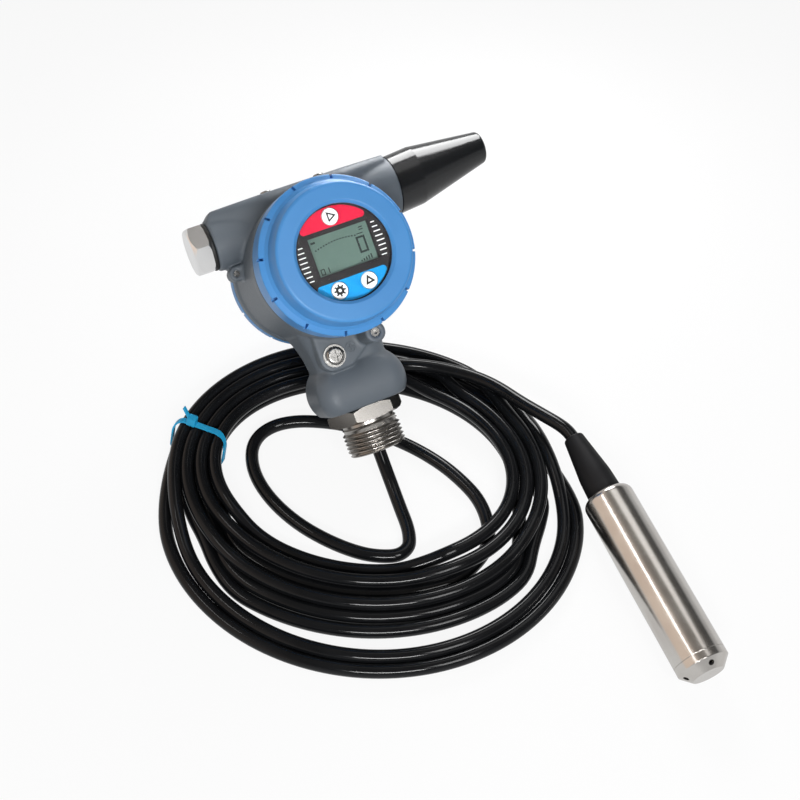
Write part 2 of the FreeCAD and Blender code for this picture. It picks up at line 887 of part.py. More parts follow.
def lug_screw():
    front = -side_lug_front + lug_screw_recess
    screw = rod((side_lug_x, front, side_lug_z), (0, 1, 0), lug_screw_radius,
                side_lug_front + side_lug_back - 2 * lug_screw_recess)
    return slotted(screw, lug_screw_radius, (side_lug_x, front, side_lug_z), 90)


# Process connector: spigot in the neck, hexagon, relief, pipe thread and a pocket for the cable seal
def process_connector():
    reach = connector_flats / math.sqrt(3)
    across = connector_flats / 2
    head = hexagon(connector_flats, hex_end, connector_hex_length, "Z")
    crown = turned([
        (0, connector_top, 0),
        (across + connector_ease, connector_top, 0),
        (reach + seat_gap, connector_top - connector_crown, 0),
        (reach + seat_gap, hex_end + connector_crown, 0),
        (across + connector_ease, hex_end, 0),
        (0, hex_end, 0),
    ], "Z")
    stem = turned([
        (0, connector_top + connector_spigot, 0),
        (socket_radius - seat_gap, connector_top + connector_spigot, broad_edge),
        (socket_radius - seat_gap, hex_end, 0),
        (process_radius - process_relief_depth, hex_end, 0),
        (process_radius - process_relief_depth, hex_end - process_relief, 0),
        (process_radius, hex_end - process_relief - process_relief_depth, 0),
        (process_radius, process_end + process_chamfer, 0),
        (process_radius - process_chamfer, process_end, 0),
        (0, process_end, 0),
    ], "Z")
    bore = rod((0, 0, process_end - overcut), (0, 0, 1), connector_bore_radius,
               connector_top + connector_spigot - process_end + 2 * overcut)
    pocket = rod((0, 0, process_end - overcut), (0, 0, 1), seal_radius + seat_gap, seal_length + overcut)
    return head.common(crown).fuse(stem).removeSplitter().cut([bore, pocket])


def cable_seal():
    return turned([
        (cable_bore_radius, process_end, 0),
        (seal_radius, process_end, soft_edge),
        (seal_radius, process_end + seal_length, 0),
        (cable_bore_radius, process_end + seal_length, 0),
    ], "Z")


# Probe tube, open at the nose, with a rounded shoulder at its cable end
def probe_tube():
    return turned([
        (probe_inner_radius, nose_length, 0),
        (probe_radius, nose_length, fine_edge),
        (probe_radius, probe_length, probe_top_round),
        (probe_inlet_radius, probe_length, 0),
        (probe_inlet_radius, probe_length - probe_top_wall, 0),
        (probe_inner_radius, probe_length - probe_top_wall, 0),
    ], "Z")


# Nose cap with a pocket for the sensor and ports that let the liquid in through the chamfer
def probe_nose_cap():
    cap = turned([
        (0, 0, 0),
        (probe_radius - nose_chamfer, 0, soft_edge),
        (probe_radius, nose_chamfer, soft_edge),
        (probe_radius, nose_length, fine_edge),
        (probe_inner_radius - seat_gap, nose_length, 0),
        (probe_inner_radius - seat_gap, nose_length + nose_spigot, 0),
        (nose_pocket_radius, nose_length + nose_spigot, 0),
        (nose_pocket_radius, nose_floor, 0),
        (0, nose_floor, 0),
    ], "Z")
    ports = []
    start_radius = probe_radius - nose_chamfer / 2 + nose_port_start
    for index in range(nose_port_count):
        angle = math.radians(360 * index / nose_port_count)
        outward_x = math.cos(angle)
        outward_y = math.sin(angle)
        start = (start_radius * outward_x, start_radius * outward_y, nose_chamfer / 2 - nose_port_start)
        ports.append(rod(start, (-outward_x, -outward_y, 1), nose_port_radius, nose_chamfer + nose_floor))
    return cap.cut(ports)


def sensor_oring():
    lift = nose_floor + seat_gap + capsule_oring_section / 2
    radius = nose_pocket_radius - seat_gap - capsule_oring_section / 2
    return Part.makeTorus(radius, capsule_oring_section / 2, Vector(0, 0, lift))


def sensor_capsule():
    start = nose_floor + 2 * seat_gap + capsule_oring_section
    return turned([
        (0, start, 0),
        (nose_pocket_radius - seat_gap, start, fine_edge),
        (nose_pocket_radius - seat_gap, start + capsule_length, fine_edge),
        (0, start + capsule_length, 0),
    ], "Z")


def probe_board():
    half = math.sqrt((probe_inner_radius - seat_gap) ** 2 - (board_thickness / 2) ** 2)
    return Part.makeBox(2 * half, board_thickness, probe_board_length,
                        Vector(-half, -board_thickness / 2, probe_board_start))


def probe_seal():
    end = probe_length - probe_top_wall
    return turned([
        (cable_bore_radius, end - probe_seal_length, 0),
        (probe_inner_radius - seat_gap, end - probe_seal_length, soft_edge),
        (probe_inner_radius - seat_gap, end, 0),
        (cable_bore_radius, end, 0),
    ], "Z")


# Bend relief at the probe's cable end, full at its base and drawn in to the cable from its knee on
def probe_boot():
    knee = probe_length + probe_boot_length * probe_boot_knee_share
    return turned([
        (cable_bore_radius, probe_length - probe_top_wall, 0),
        (probe_inlet_radius - seat_gap, probe_length - probe_top_wall, 0),
        (probe_inlet_radius - seat_gap, probe_length, 0),
        (probe_boot_base_radius, probe_length, fine_edge),
        (probe_boot_base_radius - probe_boot_knee_step, knee, probe_boot_knee_round),
        (probe_boot_tip_radius, probe_end, probe_boot_tip_round),
        (cable_bore_radius, probe_end, 0),
    ], "Z")


# A tube along a route: straight runs joined by arcs as large as the runs beside them allow
def tube_along(route, name):
    spots = [Vector(*spot) for spot in route]
    edges = []
    radii = []
    last = spots[0]
    for before, corner, after in zip(spots, spots[1:], spots[2:]):
        back = before - corner
        ahead = after - corner
        half_turn = (math.pi - back.getAngle(ahead)) / 2
        reach = bend_share * min(back.Length, ahead.Length)
        radius = reach / math.tan(half_turn)
        back.normalize()
        ahead.normalize()
        middle = back + ahead
        middle.normalize()
        start = corner + back * reach
        end = corner + ahead * reach
        bow = corner + middle * (radius / math.cos(half_turn) - radius)
        edges.append(Part.LineSegment(last, start).toShape())
        edges.append(Part.Arc(start, bow, end).toShape())
        radii.append(round(radius, 1))
        last = end
    edges.append(Part.LineSegment(last, spots[-1]).toShape())
    path = Part.Wire(edges)
    heading = spots[1] - spots[0]
    ring = Part.Wire(Part.Circle(spots[0], heading, cable_radius).toShape())
    tube = outward(path.makePipeShell([ring], True, False))
    print(name, "bend radii", radii)
    print(name, "length", round(path.Length, 1), "volume over section times length",
          round(tube.Volume / (math.pi * cable_radius ** 2 * path.Length), 4))
    return tube


def cable_lead():
    mouth = in_housing.multVec(Vector(0, 0, process_end + lead_seat))
    return tube_along([tuple(mouth)] + lead_route, "cable_lead")


def cable_tail():
    mouth = in_probe.multVec(Vector(0, 0, probe_end - tail_seat))
    return tube_along(tail_route + [tuple(mouth)], "cable_tail")


# A solid disc with an elliptical outline that lies turned on the floor
def oval(ellipse, inset, height):
    (x, y), long_half, short_half = ellipse
    curve = Part.Ellipse(Vector(0, 0, 0), long_half - inset, short_half - inset)
    disc = outward(Part.Face(Part.Wire(curve.toShape())).extrude(Vector(0, 0, height)))
    disc.Placement = Placement(Vector(x, y, 0), Rotation(Vector(0, 0, 1), coil_turn))
    return disc


# The hank of cable: the tied turns, and the two stray turns that fan out in front
def cable_coil():
    hollow = oval(coil_inner, 0, coil_height)
    tied = oval(coil_outer, 0, coil_height).cut(hollow)
    top_edges = [edge for edge in tied.Edges if edge.BoundBox.ZMin > coil_height - seat_gap]
    tied = tied.makeFillet(coil_round, top_edges)
    stray = oval(stray_outer, 0, stray_height).cut([oval(stray_outer, stray_width, stray_height), hollow])
    groove = at_tie(Part.makeBox(tie_span, tie_width + 2 * running_gap, tie_thickness + running_gap,
                                 Vector(-tie_span / 2, -tie_width / 2 - running_gap, 0)))
    return tied.fuse(stray).removeSplitter().cut(groove)


def at_tie(solid):
    moved = solid.copy()
    moved.Placement = Placement(Vector(*tie_middle, 0), Rotation(Vector(0, 0, 1), tie_turn))
    return moved


# Cable tie: a strap round the hank, its head towards the outer edge and the cut tail beyond it
def cable_tie():
    half = tie_span / 2
    top = coil_height + tie_thickness + running_gap
    low = tie_thickness
    foot = tie_foot_round
    shoulder = coil_height / 2
    outer = plate([(-half, 0, foot), (half, 0, foot), (half, top, shoulder), (-half, top, shoulder)],
                  -tie_width / 2, tie_width / 2)
    inner = plate([
        (-half + low, low, foot - low),
        (half - low, low, foot - low),
        (half - low, top - low, shoulder - low),
        (-half + low, top - low, shoulder - low),
    ], -tie_width / 2 - overcut, tie_width / 2 + overcut)
    strap = outer.cut(inner)
    length, width, height = tie_head
    head_end = -half * tie_head_share - length
    head = Part.makeBox(length, width, height, Vector(head_end, -width / 2, top - tie_thickness))
    head = head.makeFillet(tie_head_round, head.Edges)
    tail = Part.makeBox(tie_tail_length, tie_width, tie_thickness,
                        Vector(head_end + tie_tail_lap - tie_tail_length, -tie_width / 2, top + height / 3))
    return at_tie(strap.fuse([head, tail]).removeSplitter())


housing_turn = Rotation(Vector(0, 0, 1), housing_yaw).multiply(Rotation(Vector(1, 0, 0), -housing_lean))
in_housing = Placement(Vector(*housing_place), housing_turn)
tilt = math.radians(probe_tilt)
nose_lift = probe_radius * math.cos(tilt) - nose_chamfer * math.sin(tilt)
probe_turn = Rotation(Vector(0, 0, 1), probe_yaw).multiply(Rotation(Vector(0, 1, 0), 90 - probe_tilt))
in_probe = Placement(Vector(*probe_nose_place, nose_lift), probe_turn)

housing_pieces = {
    "housing": housing(),
    "front_cover": front_cover(),
    "window_glass": window_glass(),
    "window_retainer": window_retainer(),
    "front_cover_oring": cover_oring(-1, front_rim),
    "rear_cover": rear_cover(),
    "rear_cover_oring": cover_oring(1, rear_rim),
    "display_faceplate": display_faceplate(),
    "lcd_module": lcd_module(),
    "display_board": display_board(),
    "display_can": display_can(),
    "electronics_can": electronics_can(),
    "mounting_posts": mounting_posts(),
    "terminal_block": terminal_block(),
    "terminal_screws": terminal_screws(),
    "blanking_plug": blanking_plug(),
    "plug_oring": plug_oring(),
    "cable_entry_boot": cable_entry_boot(),
    "ground_screw": ground_screw(),
    "ground_washer": ground_washer(),
    "cover_lock_screw": cover_lock_screw(),
    "top_screws": top_screws(),
    "lug_screw": lug_screw(),
    "process_connector": process_connector(),
    "cable_seal": cable_seal(),
}
for key_name, key_angle in key_angles.items():
    housing_pieces[key_name] = key(*key_spot(key_angle))

probe_pieces = {
    "probe_tube": probe_tube(),
    "probe_nose_cap": probe_nose_cap(),
    "sensor_oring": sensor_oring(),
    "sensor_capsule": sensor_capsule(),
    "probe_board": probe_board(),
    "probe_seal": probe_seal(),
    "probe_boot": probe_boot(),
}

cable_pieces = {
    "cable_lead": cable_lead(),
    "cable_coil": cable_coil(),
    "cable_tail": cable_tail(),
    "cable_tie": cable_tie(),
}


def placed(pieces, place):
    solids = {}
    for name, solid in pieces.items():
        moved = solid.copy()
        moved.Placement = place.multiply(moved.Placement)
        solids[name] = moved
    return solids


os.makedirs("parts", exist_ok=True)
nodes = placed(housing_pieces, in_housing) | placed(probe_pieces, in_probe) | cable_pieces
for node, shape in nodes.items():
    shape.exportStep("parts/" + node + ".step")
    print(node, len(shape.Solids), round(shape.Volume), shape.isValid())
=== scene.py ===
import json
import math

import bmesh
import bpy
from mathutils import Matrix, Vector


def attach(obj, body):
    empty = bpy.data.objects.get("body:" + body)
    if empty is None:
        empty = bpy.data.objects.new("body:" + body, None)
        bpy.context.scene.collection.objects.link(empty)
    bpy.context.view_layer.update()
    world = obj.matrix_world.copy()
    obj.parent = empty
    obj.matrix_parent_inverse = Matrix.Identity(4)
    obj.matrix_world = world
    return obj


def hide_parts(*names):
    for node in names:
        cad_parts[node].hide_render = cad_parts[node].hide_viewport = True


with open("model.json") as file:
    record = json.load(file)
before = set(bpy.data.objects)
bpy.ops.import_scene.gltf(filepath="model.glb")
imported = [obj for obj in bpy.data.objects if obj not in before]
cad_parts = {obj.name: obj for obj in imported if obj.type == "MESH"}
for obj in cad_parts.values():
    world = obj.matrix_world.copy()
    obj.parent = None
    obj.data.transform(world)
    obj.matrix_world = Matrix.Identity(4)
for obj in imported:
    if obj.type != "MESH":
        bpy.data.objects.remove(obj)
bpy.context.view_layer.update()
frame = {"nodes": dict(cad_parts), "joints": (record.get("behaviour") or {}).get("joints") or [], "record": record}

nodes = frame["nodes"]
scene = bpy.context.scene
scene.view_settings.view_transform = "Standard"
mm = 0.001

# frame of the head: its origin and display axis come from the front cover's hinge
coverHinge = next(joint for joint in frame["joints"] if joint["name"] == "front_cover_turn")
backAxis = -Vector(coverHinge["axis"]).normalized()
sideAxis = Vector((backAxis.y, -backAxis.x, 0)).normalized()
upAxis = sideAxis.cross(backAxis)
headTurn = Matrix((sideAxis, backAxis, upAxis)).transposed().to_4x4()
headFrame = Matrix.Translation(coverHinge["pos_m"]) @ headTurn
headMm = headFrame @ Matrix.Scale(mm, 4)

# frame of the probe: +Z runs from its nose to its cable end
probe = {"yaw": 113.0, "tilt": 5.0}
probeYaw = Matrix.Rotation(math.radians(probe["yaw"]), 4, "Z")
probeTurn = probeYaw @ Matrix.Rotation(math.radians(90 - probe["tilt"]), 4, "Y")
probeAxis = probeTurn @ Vector((0, 0, 1))

# camera at the photograph's angle
view = {"target": (-23.1, 37.28, 0.0), "elevation": 53.0, "distance": 741.0, "lens": 56.25, "sensor": 36.0}


def setCamera():
    camera = bpy.data.cameras.new("camera")
    camera.lens = view["lens"]
    camera.sensor_width = view["sensor"]
    holder = bpy.data.objects.new("camera", camera)
    scene.collection.objects.link(holder)
    tilt = math.radians(view["elevation"])
    away = Vector((0, -math.cos(tilt), math.sin(tilt)))
    holder.location = (Vector(view["target"]) + away * view["distance"]) * mm
    holder.rotation_euler = (math.pi / 2 - tilt, 0, 0)
    scene.camera = holder
    print("camera set")


setCamera()


# helpers that finish a bmesh as a piece at the origin, with its place in its mesh
meshing = {"weld": 1e-5, "cadWeld": 1e-6, "sharp": 12.0}


def newObject(name, mesh, material, body):
    mesh.materials.clear()
    mesh.materials.append(material)
    piece = bpy.data.objects.new(name, mesh)
    scene.collection.objects.link(piece)
    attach(piece, body)
    return piece


def finishPiece(name, bm, place, material, body):
    bmesh.ops.remove_doubles(bm, verts=bm.verts, dist=meshing["weld"])
    bmesh.ops.transform(bm, matrix=place, verts=bm.verts)
    bmesh.ops.recalc_face_normals(bm, faces=bm.faces)
    mesh = bpy.data.meshes.new(name)
    bm.to_mesh(mesh)
    bm.free()
    mesh.shade_smooth()
    mesh.set_sharp_from_angle(angle=math.radians(meshing["sharp"]))
    return newObject(name, mesh, material, body)


def addBox(bm, middle, size, turn=0.0):
    place = Matrix.Translation(middle) @ Matrix.Rotation(math.radians(turn), 4, "Z")
    return bmesh.ops.create_cube(bm, size=1.0, matrix=place @ Matrix.Diagonal((*size, 1.0)))["verts"]


# groups: how a surface varies, and the fine lines that a lathe or a brush leaves
surface = {
    "patchDetail": 3.0, "grainDetail": 4.0, "lineDetail": 2.0,
    "patchRange": (0.35, 0.65), "roughRange": (0.3, 0.7), "grainShare": 0.5,
}


def groupSocket(group, name, direction, kind):
    return group.interface.new_socket(name=name, in_out=direction, socket_type=kind)


def varyGroup():
    group = bpy.data.node_groups.new("surface_vary", "ShaderNodeTree")
    for name in ("Color A", "Color B"):
        groupSocket(group, name, "INPUT", "NodeSocketColor")
    for name in ("Rough Low", "Rough High", "Patch Scale", "Grain Scale"):
        groupSocket(group, name, "INPUT", "NodeSocketFloat")
    groupSocket(group, "Color", "OUTPUT", "NodeSocketColor")
    groupSocket(group, "Roughness", "OUTPUT", "NodeSocketFloat")
    groupSocket(group, "Height", "OUTPUT", "NodeSocketFloat")
    make, link = group.nodes.new, group.links.new
    ins, outs = make("NodeGroupInput"), make("NodeGroupOutput")
    place = make("ShaderNodeTexCoord")
    patch, grain = make("ShaderNodeTexNoise"), make("ShaderNodeTexNoise")
    patch.inputs["Detail"].default_value = surface["patchDetail"]
    grain.inputs["Detail"].default_value = surface["grainDetail"]
    spread, mix, rough = make("ShaderNodeMapRange"), make("ShaderNodeMix"), make("ShaderNodeMapRange")
    mix.data_type = "RGBA"
    spread.inputs["From Min"].default_value, spread.inputs["From Max"].default_value = surface["patchRange"]
    blend = make("ShaderNodeMath")
    blend.operation = "MULTIPLY_ADD"
    blend.inputs[1].default_value = surface["grainShare"]
    half = make("ShaderNodeMath")
    half.operation = "MULTIPLY"
    half.inputs[1].default_value = 1 - surface["grainShare"]
    rough.inputs["From Min"].default_value, rough.inputs["From Max"].default_value = surface["roughRange"]
    link(place.outputs["Object"], patch.inputs["Vector"])
    link(place.outputs["Object"], grain.inputs["Vector"])
    link(ins.outputs["Patch Scale"], patch.inputs["Scale"])
    link(ins.outputs["Grain Scale"], grain.inputs["Scale"])
    link(patch.outputs["Fac"], spread.inputs["Value"])
    link(spread.outputs["Result"], mix.inputs["Factor"])
    link(ins.outputs["Color A"], mix.inputs[6])
    link(ins.outputs["Color B"], mix.inputs[7])
    link(patch.outputs["Fac"], half.inputs[0])
    link(grain.outputs["Fac"], blend.inputs[0])
    link(half.outputs["Value"], blend.inputs[2])
    link(blend.outputs["Value"], rough.inputs["Value"])
    link(ins.outputs["Rough Low"], rough.inputs["To Min"])
    link(ins.outputs["Rough High"], rough.inputs["To Max"])
    link(mix.outputs[2], outs.inputs["Color"])
    link(rough.outputs["Result"], outs.inputs["Roughness"])
    link(grain.outputs["Fac"], outs.inputs["Height"])
    return group


def lineGroup():
    group = bpy.data.node_groups.new("tool_lines", "ShaderNodeTree")
    groupSocket(group, "Axis", "INPUT", "NodeSocketVector")
    groupSocket(group, "Scale", "INPUT", "NodeSocketFloat")
    groupSocket(group, "Lines", "OUTPUT", "NodeSocketFloat")
    make, link = group.nodes.new, group.links.new
    ins, outs = make("NodeGroupInput"), make("NodeGroupOutput")
    place, along, lines = make("ShaderNodeTexCoord"), make("ShaderNodeVectorMath"), make("ShaderNodeTexNoise")
    along.operation = "DOT_PRODUCT"
    lines.noise_dimensions = "1D"
    lines.inputs["Detail"].default_value = surface["lineDetail"]
    link(place.outputs["Object"], along.inputs[0])
    link(ins.outputs["Axis"], along.inputs[1])
    link(along.outputs["Value"], lines.inputs["W"])
    link(ins.outputs["Scale"], lines.inputs["Scale"])
    link(lines.outputs["Fac"], outs.inputs["Lines"])
    return group


surfaceVary = varyGroup()
toolLines = lineGroup()


# a finish: colours and roughness that vary over the surface, grain, and tool lines where it is machined
def surfaceFinish(name, look):
    material = bpy.data.materials.new(name)
    material.use_nodes = True
    tree = material.node_tree
    shader = tree.nodes["Principled BSDF"]
    shader.inputs["Metallic"].default_value = look.get("metallic", 0.0)
    shader.inputs["IOR"].default_value = look.get("ior", 1.5)
    vary = tree.nodes.new("ShaderNodeGroup")
    vary.node_tree = surfaceVary
    vary.inputs["Color A"].default_value = (*look["color"], 1.0)
    vary.inputs["Color B"].default_value = (*look["tint"], 1.0)
    vary.inputs["Rough Low"].default_value = look["rough"][0]
    vary.inputs["Rough High"].default_value = look["rough"][1]
    vary.inputs["Patch Scale"].default_value = look.get("patch", 40.0)
    vary.inputs["Grain Scale"].default_value = look.get("grain", 900.0)
    bump = tree.nodes.new("ShaderNodeBump")
    bump.inputs["Strength"].default_value = look.get("bump", 0.3)
    bump.inputs["Distance"].default_value = look.get("depth", 0.05) * mm
    tree.links.new(vary.outputs["Color"], shader.inputs["Base Color"])
    tree.links.new(vary.outputs["Roughness"], shader.inputs["Roughness"])
    tree.links.new(bump.outputs["Normal"], shader.inputs["Normal"])
    if "lines" in look:
        axis, scale = look["lines"]
        lines = tree.nodes.new("ShaderNodeGroup")
        lines.node_tree = toolLines
        lines.inputs["Axis"].default_value = axis
        lines.inputs["Scale"].default_value = scale
        tree.links.new(lines.outputs["Lines"], bump.inputs["Height"])
    else:
        tree.links.new(vary.outputs["Height"], bump.inputs["Height"])
    return material


finishes = {
    "housing_grey": surfaceFinish("powder_grey", {
        "color": (0.104, 0.124, 0.146), "tint": (0.118, 0.139, 0.162), "rough": (0.42, 0.56),
        "patch": 25.0, "grain": 900.0, "bump": 0.4, "depth": 0.10}),
    "cover_blue": surfaceFinish("enamel_blue", {
        "color": (0.058, 0.262, 0.610), "tint": (0.067, 0.282, 0.640), "rough": (0.34, 0.46),
        "patch": 30.0, "grain": 1300.0, "bump": 0.22, "depth": 0.05}),
    "retainer_black": surfaceFinish("anodised_black", {
        "color": (0.012, 0.012, 0.013), "tint": (0.018, 0.018, 0.02), "rough": (0.4, 0.55),
        "lines": (tuple(backAxis), 4000.0), "bump": 0.2}),
    "seal_rubber": surfaceFinish("seal_rubber", {
        "color": (0.010, 0.010, 0.010), "tint": (0.016, 0.016, 0.016), "rough": (0.45, 0.6), "grain": 700.0}),
    "panel_film": surfaceFinish("panel_black", {
        "color": (0.018, 0.016, 0.018), "tint": (0.024, 0.022, 0.024), "rough": (0.5, 0.6), "ior": 1.2,
        "grain": 2600.0, "bump": 0.25, "depth": 0.02}),
    "lcd_glass": surfaceFinish("lcd_grey_green", {
        "color": (0.088, 0.134, 0.118), "tint": (0.100, 0.148, 0.132), "rough": (0.4, 0.5), "ior": 1.2,
        "patch": 60.0, "grain": 4000.0, "bump": 0.05, "depth": 0.01}),
    "key_white": surfaceFinish("key_white", {
        "color": (0.74, 0.74, 0.75), "tint": (0.80, 0.80, 0.80), "rough": (0.36, 0.48), "grain": 1800.0}),
    "board_green": surfaceFinish("board_green", {
        "color": (0.010, 0.090, 0.040), "tint": (0.016, 0.120, 0.055), "rough": (0.3, 0.45), "patch": 300.0}),
    "electronics_case": surfaceFinish("potting_black", {
        "color": (0.012, 0.012, 0.013), "tint": (0.022, 0.022, 0.024), "rough": (0.35, 0.5), "patch": 80.0}),
    "post_brass": surfaceFinish("post_brass", {
        "color": (0.50, 0.33, 0.10), "tint": (0.56, 0.38, 0.13), "rough": (0.25, 0.36), "metallic": 1.0,
        "lines": (tuple(backAxis), 5000.0)}),
    "terminal_plastic": surfaceFinish("terminal_plastic", {
        "color": (0.020, 0.020, 0.022), "tint": (0.028, 0.028, 0.03), "rough": (0.4, 0.52)}),
    "screw_steel": surfaceFinish("screw_steel", {
        "color": (0.27, 0.265, 0.255), "tint": (0.31, 0.305, 0.295), "rough": (0.26, 0.275), "metallic": 1.0,
        "patch": 120.0, "grain": 60.0, "bump": 0.03, "depth": 0.03}),
    "plug_steel": surfaceFinish("plug_bright", {
        "color": (0.84, 0.84, 0.84), "tint": (0.88, 0.88, 0.88), "rough": (0.25, 0.265), "metallic": 1.0,
        "patch": 80.0, "grain": 40.0, "bump": 0.03, "depth": 0.03}),
    "boot_black": surfaceFinish("boot_black", {
        "color": (0.006, 0.007, 0.008), "tint": (0.009, 0.010, 0.011), "rough": (0.14, 0.20), "ior": 1.5,
        "grain": 500.0, "bump": 0.06, "depth": 0.03}),
    "connector_steel": surfaceFinish("connector_steel", {
        "color": (0.33, 0.315, 0.295), "tint": (0.37, 0.355, 0.335), "rough": (0.26, 0.268), "metallic": 1.0,
        "patch": 60.0, "grain": 40.0, "bump": 0.03, "depth": 0.03}),
    "probe_steel": surfaceFinish("probe_steel", {
        "color": (0.58, 0.55, 0.52), "tint": (0.64, 0.62, 0.59), "rough": (0.16, 0.27), "metallic": 1.0,
        "patch": 60.0, "lines": (tuple(probeAxis), 2600.0), "bump": 0.06, "depth": 0.01}),
    "capsule_steel": surfaceFinish("capsule_steel", {
        "color": (0.50, 0.50, 0.50), "tint": (0.56, 0.56, 0.56), "rough": (0.18, 0.28), "metallic": 1.0,
        "lines": (tuple(probeAxis), 6000.0), "bump": 0.1}),
    "probe_boot_rubber": surfaceFinish("probe_boot_rubber", {
        "color": (0.005, 0.005, 0.006), "tint": (0.008, 0.008, 0.009), "rough": (0.5, 0.62), "ior": 1.3,
        "grain": 900.0, "bump": 0.3, "depth": 0.06}),
    "cable_black": surfaceFinish("sheath_black", {
        "color": (0.0050, 0.0054, 0.0062), "tint": (0.0078, 0.0082, 0.0092), "rough": (0.09, 0.14), "ior": 1.31,
        "patch": 55.0, "grain": 200.0, "bump": 0.08, "depth": 0.08}),
    "tie_blue": surfaceFinish("tie_blue", {
        "color": (0.010, 0.330, 0.610), "tint": (0.016, 0.370, 0.650), "rough": (0.3, 0.4), "grain": 1500.0}),
}


# window glass: light for the panel behind it passes straight through
window = {"color": (0.97, 0.99, 0.98), "rough": 0.02, "ior": 1.45}


def windowGlass():
    material = bpy.data.materials.new("window_glass")
    material.use_nodes = True
    tree = material.node_tree
    shader, output = tree.nodes["Principled BSDF"], tree.nodes["Material Output"]
    shader.inputs["Base Color"].default_value = (*window["color"], 1.0)
    shader.inputs["Roughness"].default_value = window["rough"]
    shader.inputs["IOR"].default_value = window["ior"]
    shader.inputs["Transmission Weight"].default_value = 1.0
    clear, mix, path = (tree.nodes.new("ShaderNodeBsdfTransparent"), tree.nodes.new("ShaderNodeMixShader"),
                        tree.nodes.new("ShaderNodeLightPath"))
    tree.links.new(path.outputs["Is Shadow Ray"], mix.inputs["Fac"])
    tree.links.new(shader.outputs["BSDF"], mix.inputs[1])
    tree.links.new(clear.outputs["BSDF"], mix.inputs[2])
    tree.links.new(mix.outputs["Shader"], output.inputs["Surface"])
    return material


finishes["window"] = windowGlass()
for subpart in frame["record"]["subparts"]:
    nodes[subpart["node"]].material_slots[0].material = finishes[subpart["material_slot"]]
print("finishes set:", len(finishes))

# cable: from the connector round the inner loop, eight turns of the coil, then over them to the probe
cable = {"radius": 3.75, "exit": (-35.3, -8.57, 16.0), "length": 4.87, "resolution": 5, "bevelSteps": 6}
floorLine = 3.8
leadRoute = [
    (-36.3, -6.52, 17.9),
    (-32.3, -14.82, 10.3),
    (-27.3, -27.22, 5.0),
    (-22.7, -41.22, floorLine),
    (-19.3, -51.22, floorLine),
    (-17.9, -58.62, floorLine),
    (-18.2, -65.42, floorLine),
    (-23.4, -70.32, floorLine),
    (-31.7, -71.12, floorLine),
    (-43.6, -69.52, floorLine),
    (-60.1, -62.72, floorLine),
    (-78.6, -51.22, floorLine),
    (-94.6, -35.72, floorLine),
    (-105.1, -18.72, floorLine),
    (-108.4, -2.72, floorLine),
    (-105.1, 8.48, floorLine),
    (-96.6, 15.68, floorLine),
    (-85.1, 18.88, floorLine),
    (-71.6, 18.88, floorLine),
    (-55.8, 16.58, floorLine),
    (-35.2, 10.48, floorLine),
    (-15.8, 0.78, floorLine),
    (0.4, -11.02, floorLine),
    (11.4, -22.22, floorLine),
    (20.1, -33.72, floorLine),
    (24.9, -47.22, floorLine),
    (25.5, -60.72, floorLine),
    (21.1, -71.82, floorLine),
]
tailRoute = [
    (-66.4, 46.18, 11.6),
    (-52.4, 47.58, 15.2),
    (-37.9, 48.78, 18.9),
    (-21.4, 48.98, 19.4),
    (-5.4, 47.48, 19.4),
    (9.1, 43.98, 19.4),
    (22.1, 38.98, 19.4),
    (33.8, 31.58, 19.7),
    (45.2, 20.38, 21.0),
    (57.2, 8.88, 24.0),
    (67.4, -0.65, 26.2),
    (72.1, -7.12, 26.5),
    (74.43, -12.62, 25.98),
]

# coil: ovals as (middle, long half, short half); each slot is a turn's seat in the tied hank, and where it fans
# out to in front: fan is its distance from the inner edge, inset its distance from the edge of the stray turns;
# the From and To values are (angle, width) of the eased ends of the fanned front, and the Lift values say from
# which share of the fanning on a turn changes its height
coil = {
    "inner": ((-43.8, -17.22), 80.4, 57.5), "outer": ((-43.5, -20.72), 111.6, 93.5),
    "stray": ((-39.7, -38.42), 119.3, 100.5), "turn": -11.0, "edge": 4.05, "layer": 7.6, "frontWidth": 39.5,
    "start": -48.0, "end": -2760.0, "step": -10.0, "turnTravel": 345.0, "shift": 15.0, "climbBow": 1.2,
    "seam": 260.0, "columns": 3, "fanFrom": (-5.0, 45.0), "fanTo": (-155.0, 50.0), "fanGain": 1.8, "fanLift": 0.4,
    "strayFrom": (45.0, 40.0), "strayTo": (-192.0, 36.0), "strayLift": 0.5,
    "slots": [
        {"column": 0.3, "layer": 0, "fan": 18.6, "fanHeight": 0.0, "late": -2.6},
        {"column": 1.3, "layer": 0, "fan": 32.2, "fanHeight": 0.0, "late": 2.4, "hold": 6.0},
        {"column": 2.3, "layer": 0, "fan": 40.3, "fanHeight": 0.0, "late": 1.9, "hold": 9.0},
        {"column": 3.25, "layer": 0, "inset": 4.2, "frontOut": 2.6, "fanHeight": 0.0},
        {"column": 2.95, "layer": 1, "inset": 11.6, "frontOut": 2.8, "fanHeight": 1.5, "late": 14.0},
        {"column": 2.0, "layer": 1, "fan": 27.0, "fanHeight": 5.3, "late": 2.1, "hold": 4.0},
        {"column": 1.0, "layer": 1, "fan": 14.0, "fanHeight": 5.8, "late": 25.0, "hold": -2.3},
        {"column": 0.0, "layer": 1, "fan": 4.6, "fanHeight": 0.0, "late": 25.6, "hold": -9.4},
    ],
}


def ease(share):
    share = min(max(share, 0.0), 1.0)
    return share * share * (3 - 2 * share)


# 1 between two angles, counted down, and 0 beyond the eased ends of that stretch; late and hold shift the ends
def between(degrees, first, last, late, hold):
    return ease((first[0] - late - degrees) / first[1]) * ease((degrees - last[0] - hold) / last[1])


